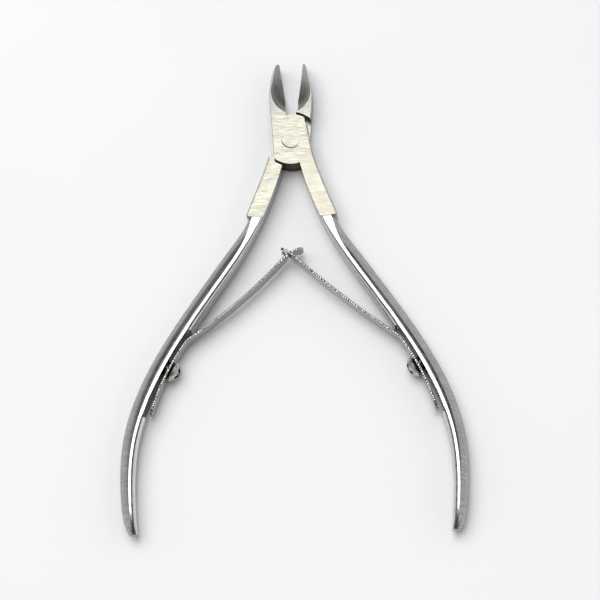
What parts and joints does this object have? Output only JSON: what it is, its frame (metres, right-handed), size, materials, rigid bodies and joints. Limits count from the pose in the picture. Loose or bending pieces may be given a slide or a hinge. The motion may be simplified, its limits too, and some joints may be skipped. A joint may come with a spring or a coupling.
{
  "type": "cuticle nipper",
  "caption": "Hand nipper with lap-jointed forged levers, short hollow-ground jaws that meet at fine cutting edges, curved solid grips and hooked leaf springs that hold it open.",
  "frame": {"origin": "on the pivot axis, in the flat underside of the lap joint", "axes": "+Y from the pivot to the jaws, +Z square to the plane of the tool, +X to the right with the hollow-ground side of the jaws facing up"},
  "size_m": [0.071, 0.1014, 0.005],
  "materials": {
    "forged_steel": "satin flats, polished grips",
    "rivet_steel": "satin, ground flush with the lap",
    "spring_steel": "rolled strip, bright",
    "screw_steel": "polished"
  },
  "bodies": {
    "lower": {"lower_lever": "forged_steel", "pivot_rivet": "rivet_steel", "left_spring_screw": "screw_steel"},
    "upper": {"upper_lever": "forged_steel", "right_spring_screw": "screw_steel"},
    "left_leaf": {"left_spring": "spring_steel"},
    "right_leaf": {"right_spring": "spring_steel"}
  },
  "joints": [
    {"name": "pivot", "type": "hinge", "parent": "lower", "child": "upper", "pos_m": [0, 0, 0], "axis": [0, 0, -1], "range_deg": [0, 16], "stiffness_Nm_per_rad": 0.7},
    {"name": "left_leaf_flex", "type": "hinge", "parent": "lower", "child": "left_leaf", "pos_m": [-0.0219, -0.0433, 0.0025], "axis": [0, 0, 1], "range_deg": [0, 9.27], "deforming": ["left_spring"]},
    {"name": "right_leaf_flex", "type": "hinge", "parent": "upper", "child": "right_leaf", "pos_m": [0.0219, -0.0433, 0.0025], "axis": [0, 0, -1], "range_deg": [0, 8.01], "deforming": ["right_spring"]}
  ],
  "couplings": [
    {"joint": "left_leaf_flex", "follows": "pivot", "ratio": 0.5788},
    {"joint": "right_leaf_flex", "follows": "pivot", "ratio": 0.5003}
  ]
}
